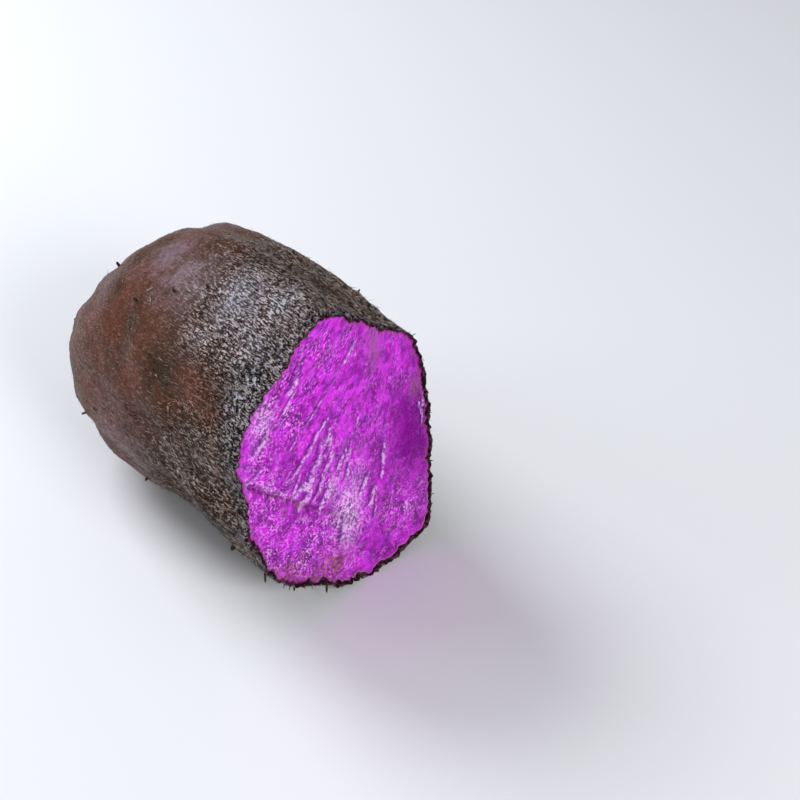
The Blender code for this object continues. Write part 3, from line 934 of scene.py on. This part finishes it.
def skin_material():
    """Smooth skin on the grown end, and pale crisp lines over dark gaps from the middle to the cut."""
    m = Material("yam_skin")
    straight = m.attribute("straight", "Vector")
    along = m.axis(straight, "Y")
    broad = m.noise(straight, 0.05, 3.0, 0.6, 0.4)
    blotch = m.noise(straight, 0.20, 4.0, 0.65, 0.6)
    fleck = m.noise(straight, 0.75, 3.0, 0.7, 0.5)
    lines = m.noise(m.stretched(straight, (1.0, 0.19, 1.0)), 2.7, 2.0, 0.6, 0.1)
    specks = m.noise(m.stretched(straight, (1.0, 0.55, 1.0), (7, 7, 7)), 2.8, 2.0, 0.6, 0.2)
    painted_sheen = m.attribute("painted_sheen")

    # where the lines are crisp, with a clouded border, and where the skin beside the cut is near black
    inside = m.total((m.attribute("crisp"), 1.0), (blotch, 30.0), (fleck, 16.0))
    crisp = m.remap(inside, 10.0, 38.0, 0.08, 1.0)
    beside = m.remap(m.plus(along, m.times(blotch, 12.0)), 14.5, 7.5)
    black_and_glints = m.times(m.attribute("black_and_glints"), m.remap(blotch, 0.38, 0.50, 0.6, 1.0))
    near_black = m.math("MAXIMUM", black_and_glints, m.times(beside, 0.65))

    # the crests and gaps of the lines, and the crests' colour: greyer away from the marks, and bluish grey
    # under the painted sheen
    weave = m.total((lines, 0.62), (specks, 0.38), (painted_sheen, 0.035), (fleck, 0.28))
    crest = m.remap(weave, 0.675, 0.735)
    gap = m.remap(weave, 0.665, 0.600)
    plain = m.math("MAXIMUM", m.attribute("rusty"), m.attribute("dark"))
    grey = m.remap(m.plus(plain, m.times(blotch, -1.6)), 0.10, -0.80)
    pale = m.mix(colour(124, 96, 74), colour(192, 182, 172), grey)
    pale = m.mix(pale, colour(194, 194, 206), painted_sheen)
    pale = m.mix(colour(140, 104, 88), pale, crisp)

    # dark gaps, which are weaker under the painted sheen, crests that come and go, and painted glints in
    # clots on the black
    shiny = m.times(painted_sheen, m.remap(along, 20.0, 50.0, 0.5, 1.0))
    depth = m.times(crisp, m.remap(shiny, 0.0, 1.0, 0.97, 0.35))
    even = m.remap(m.noise(straight, 0.11, 3.0, 0.6, 0.8), 0.42, 0.54, 0.72, 1.0)
    clots = m.noise(m.stretched(straight, (1.0, 0.7, 1.0), (4, 4, 4)), 1.15, 3.0, 0.65, 0.6)
    glint = m.times(m.remap(clots, 0.53, 0.58), m.times(near_black, near_black))
    raw_edge = m.mix(colour(30, 8, 20), colour(104, 50, 74), m.remap(fleck, 0.48, 0.62))
    base = m.layers(skin_ground(m, broad, blotch, fleck), (
        # painted sheen: grey over the crisp skin where light catches it
        (colour(118, 112, 122), m.times(painted_sheen, m.times(crisp, 0.8))),
        (colour(14, 10, 8), m.times(gap, depth)),
        (pale, m.times(crest, m.times(crisp, even))),
        (colour(15, 12, 19), m.times(near_black, m.remap(crest, 0.0, 1.0, 0.95, 0.45))),
        # painted glints on the black skin beside the cut
        (colour(206, 206, 222), m.times(glint, m.remap(crest, 0.0, 1.0, 0.75, 1.0))),
        (raw_edge, m.remap(m.attribute("rim"), 0.2, 0.9)),
    ))
    height = m.total((lines, 0.8), (specks, 0.5))
    shine = m.plus(m.total((crest, 0.30), (glint, 0.15)), 0.02)
    return m.finish(Base_Color=base, Roughness=m.remap(specks, 0.35, 0.65, 0.30, 0.5),
                    Normal=m.bump(m.times(height, crisp), 0.0006, 0.9), Specular_IOR_Level=shine)


def edge_line(m, grain, mottle):
    """The broken line between flesh and skin, dark, and on the lower right pale as a painted highlight: its
    colour and its cover.
    """
    edge_highlight = m.attribute("edge_highlight")
    tint = m.mix(colour(84, 8, 62), colour(222, 168, 214), edge_highlight)
    line = m.remap(m.plus(m.attribute("from_rim"), m.times(grain, 1.2)), 1.5, 0.9)
    return tint, m.times(line, m.remap(m.times(edge_highlight, mottle), 0.35, 0.60, 0.75, 0.2))


def flesh_material():
    """Wet magenta flesh: clouded, streaked and beaded, with torn grains, painted glints, painted shade and a
    few odd patches.
    """
    m = Material("yam_flesh")
    place = m.millimetres()
    streaked = m.attribute("streaked", "Vector")
    torn = m.attribute("torn")
    calm_and_shadow = m.attribute("calm_and_shadow")
    brown = m.attribute("brown")
    cloud = m.noise(place, 0.14, 3.0, 0.6)
    patch = m.noise(m.stretched(streaked, (1.0, 1.0, 0.6), (5, 5, 5)), 0.22, 3.0, 0.6)
    violet = m.noise(m.stretched(streaked, (1.0, 1.0, 0.45)), 0.30, 3.0, 0.6)
    mottle = m.noise(m.stretched(streaked, (1.0, 1.0, 0.60), (3, 3, 3)), 0.60, 3.0, 0.6)
    beads = m.noise(m.stretched(streaked, (1.0, 1.0, 0.50), (9, 9, 9)), 2.1, 2.0, 0.6)
    cluster = m.noise(place, 0.45, 2.0, 0.6)
    grain = m.plus(m.total((m.noise(place, 1.6, 2.0, 0.55), 1.0), (cluster, 0.45)), -0.225)

    # how lively, streaky and grainy the flesh is, which comes and goes
    wide = m.noise(m.stretched(streaked, (1.0, 1.0, 0.7), (2, 2, 2)), 0.20, 2.0, 0.5)
    rough = m.remap(wide, 0.42, 0.56, 0.55, 1.0)
    fitful = m.remap(m.noise(place, 0.30, 2.0, 0.5), 0.40, 0.56, 0.25, 1.0)
    lively = m.times(m.remap(calm_and_shadow, 0.0, 1.0, 1.0, 0.25), rough)
    streaky = m.times(m.math("MAXIMUM", m.attribute("streaky"), 0.35), m.times(lively, fitful))
    grains = m.times(m.attribute("grains"), rough)

    tone = m.total((cloud, 0.5), (patch, 0.5))
    beading = m.remap(m.total((grain, 0.6), (beads, 0.4)), 0.46, 0.55, 0.15, 1.0)
    glinting = m.remap(m.noise(place, 0.95, 3.0, 0.65), 0.46, 0.54, 0.1, 1.0)
    glint = m.times(m.remap(torn, 0.06, 0.26), glinting)
    near_skin = m.remap(m.plus(m.attribute("from_rim"), m.times(cloud, 4.0)), 4.2, 2.4)
    base = m.layers(colour(162, 2, 174), (
        (colour(222, 38, 232), m.remap(tone, 0.43, 0.57)),
        (colour(158, 44, 204), m.times(m.remap(violet, 0.50, 0.62), m.times(lively, 0.6))),
        # painted shadow, darker over the right of the face
        (colour(112, 0, 122), m.times(calm_and_shadow, 0.9)),
        # soft dark and bright mottles, then finer beads along the streaks, the bright ones painted glints,
        # and the torn grains
        (colour(116, 0, 128), m.times(m.remap(mottle, 0.50, 0.40), m.times(lively, 0.8))),
        (colour(226, 62, 240), m.times(m.remap(mottle, 0.53, 0.62), m.times(lively, 0.7))),
        (colour(84, 2, 92), m.times(m.remap(beads, 0.48, 0.42), m.times(streaky, 0.85))),
        (colour(246, 172, 246), m.times(m.remap(beads, 0.55, 0.60), streaky)),
        (colour(82, 4, 100), m.times(m.remap(grain, 0.48, 0.40), m.times(grains, 0.95))),
        (colour(244, 184, 246), m.times(m.remap(grain, 0.565, 0.62), grains)),
        # painted glints in patches, and the pale cortex at the left rim
        (colour(240, 206, 248), m.times(m.times(m.attribute("glints_and_cortex"), beading), 0.95)),
        # the painted shade and the painted glint of the torn ridges, the painted shade in the crease, and the
        # painted highlight on its lip
        (colour(96, 6, 124), m.times(m.attribute("shade"), 0.8)),
        (colour(104, 0, 96), m.times(m.attribute("fold"), 0.85)),
        (colour(236, 176, 242), m.times(m.attribute("lip"), m.remap(grain, 0.46, 0.56, 0.1, 0.8))),
        (colour(230, 172, 240), m.times(glint, 0.85)),
        # the duller flesh under the skin, and the grey and brown patches
        (colour(168, 70, 150), m.times(near_skin, 0.6)),
        (colour(140, 92, 128), m.times(m.attribute("grey"), m.remap(beads, 0.42, 0.56, 0.2, 1.0))),
        (colour(148, 76, 114), m.times(brown, m.remap(mottle, 0.62, 0.42, 0.45, 1.0))),
        (colour(96, 10, 56), m.times(brown, m.remap(grain, 0.47, 0.40, 0.0, 0.8))),
        edge_line(m, grain, mottle),
    ))
    height = m.total((mottle, 0.7), (grain, 0.6))
    wet = m.math("MAXIMUM", m.remap(torn, 0.05, 0.2), m.times(grains, 0.6))
    return m.finish(Base_Color=base, Roughness=m.remap(wet, 0.0, 1.0, 0.32, 0.10),
                    Normal=m.bump(height, 0.0006, 0.9), Subsurface_Weight=0.05,
                    Subsurface_Radius=(0.8, 0.25, 0.7), Subsurface_Scale=0.002,
                    Specular_IOR_Level=m.plus(m.remap(calm_and_shadow, 0.0, 1.0, 0.16, 0.03), m.times(wet, 0.28)))


def hair_material():
    """Hairs from near black to straw, unevenly darker in places."""
    m = Material("root_hairs")
    pale = m.attribute("pale")
    uneven = m.noise(m.millimetres(), 1.4, 2.0, 0.6)
    base = m.layers(colour(20, 14, 12), (
        (colour(98, 76, 60), m.remap(pale, 0.1, 0.5)),
        (colour(178, 162, 144), m.remap(pale, 0.5, 0.9)),
        (colour(24, 18, 20), m.remap(uneven, 0.50, 0.38, 0.0, 0.6)),
    ))
    return m.finish(Base_Color=base, Roughness=m.remap(uneven, 0.35, 0.65, 0.35, 0.6),
                    Normal=m.bump(uneven, 0.0003, 0.5), Specular_IOR_Level=0.08)


# ---- floor, camera and light ------------------------------------------------------------------
def floor_piece():
    mesh = bpy.data.meshes.new("floor")
    half = FLOOR_HALF
    corners = [(-half, -half, 0), (half, -half, 0), (half, half, 0), (-half, half, 0)]
    mesh.from_pydata(corners, [], [(0, 1, 2, 3)])
    floor = bpy.data.objects.new("floor", mesh)
    bpy.context.scene.collection.objects.link(floor)
    m = Material("floor")
    m.finish(Base_Color=FLOOR_COLOUR, Roughness=0.6)
    mesh.materials.append(m.material)


def look_at(obj, place, aim):
    obj.location = place
    obj.rotation_euler = (aim - place).to_track_quat("-Z", "Y").to_euler()
    bpy.context.scene.collection.objects.link(obj)


def make_camera():
    azimuth = math.radians(CAMERA_AZIMUTH)
    elevation = math.radians(CAMERA_ELEVATION)
    level = math.cos(elevation)
    back = Vector((math.sin(azimuth) * level, -math.cos(azimuth) * level, math.sin(elevation)))
    data = bpy.data.cameras.new("camera")
    data.lens = CAMERA_LENS
    camera = bpy.data.objects.new("camera", data)
    look_at(camera, CAMERA_AIM + back * CAMERA_DISTANCE, CAMERA_AIM)
    bpy.context.scene.camera = camera


def make_lights():
    """Lights placed as the camera sees them, and an even glow from all round."""
    azimuth = math.radians(CAMERA_AZIMUTH)
    right = Vector((math.cos(azimuth), math.sin(azimuth), 0))
    beyond = Vector((-math.sin(azimuth), math.cos(azimuth), 0))
    for name, (rightward, onward, upward, size, power, tint) in LIGHTS.items():
        lamp = bpy.data.lights.new(name, "AREA")
        lamp.shape = "DISK"
        lamp.size = size
        lamp.energy = power
        lamp.color = tint
        place = LIGHT_AIM + right * rightward + beyond * onward + Vector((0, 0, upward))
        look_at(bpy.data.objects.new(name, lamp), place, LIGHT_AIM)
    world = bpy.data.worlds.new("world")
    world.use_nodes = True
    glow = world.node_tree.nodes["Background"]
    glow.inputs["Color"].default_value = (1.0, 1.0, 1.0, 1.0)
    glow.inputs["Strength"].default_value = WORLD_STRENGTH
    bpy.context.scene.world = world
    bpy.context.scene.view_settings.view_transform = "Standard"


make_camera()
make_lights()

# The first draws are the solid's own, in its order, so its lumps and scars come out the same here.
rng = np.random.default_rng(SEED)
UNEVEN = draw_waves(rng, LUMPS, LUMP_LENGTH, LUMP_HEIGHT, 1.0)
UNEVEN += draw_waves(rng, WRINKLES, WRINKLE_LENGTH, WRINKLE_HEIGHT, WRINKLE_STRETCH)
SCAR_ROWS = draw_scars(rng)

for piece, finish, slot in (
    (skin_piece(), skin_material(), "skin"),
    (flesh_piece(), flesh_material(), "flesh"),
    (hairs_piece(rng), hair_material(), "skin"),
):
    piece.data.materials.append(finish)
    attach(piece, "root")
    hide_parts(NODE)
floor_piece()
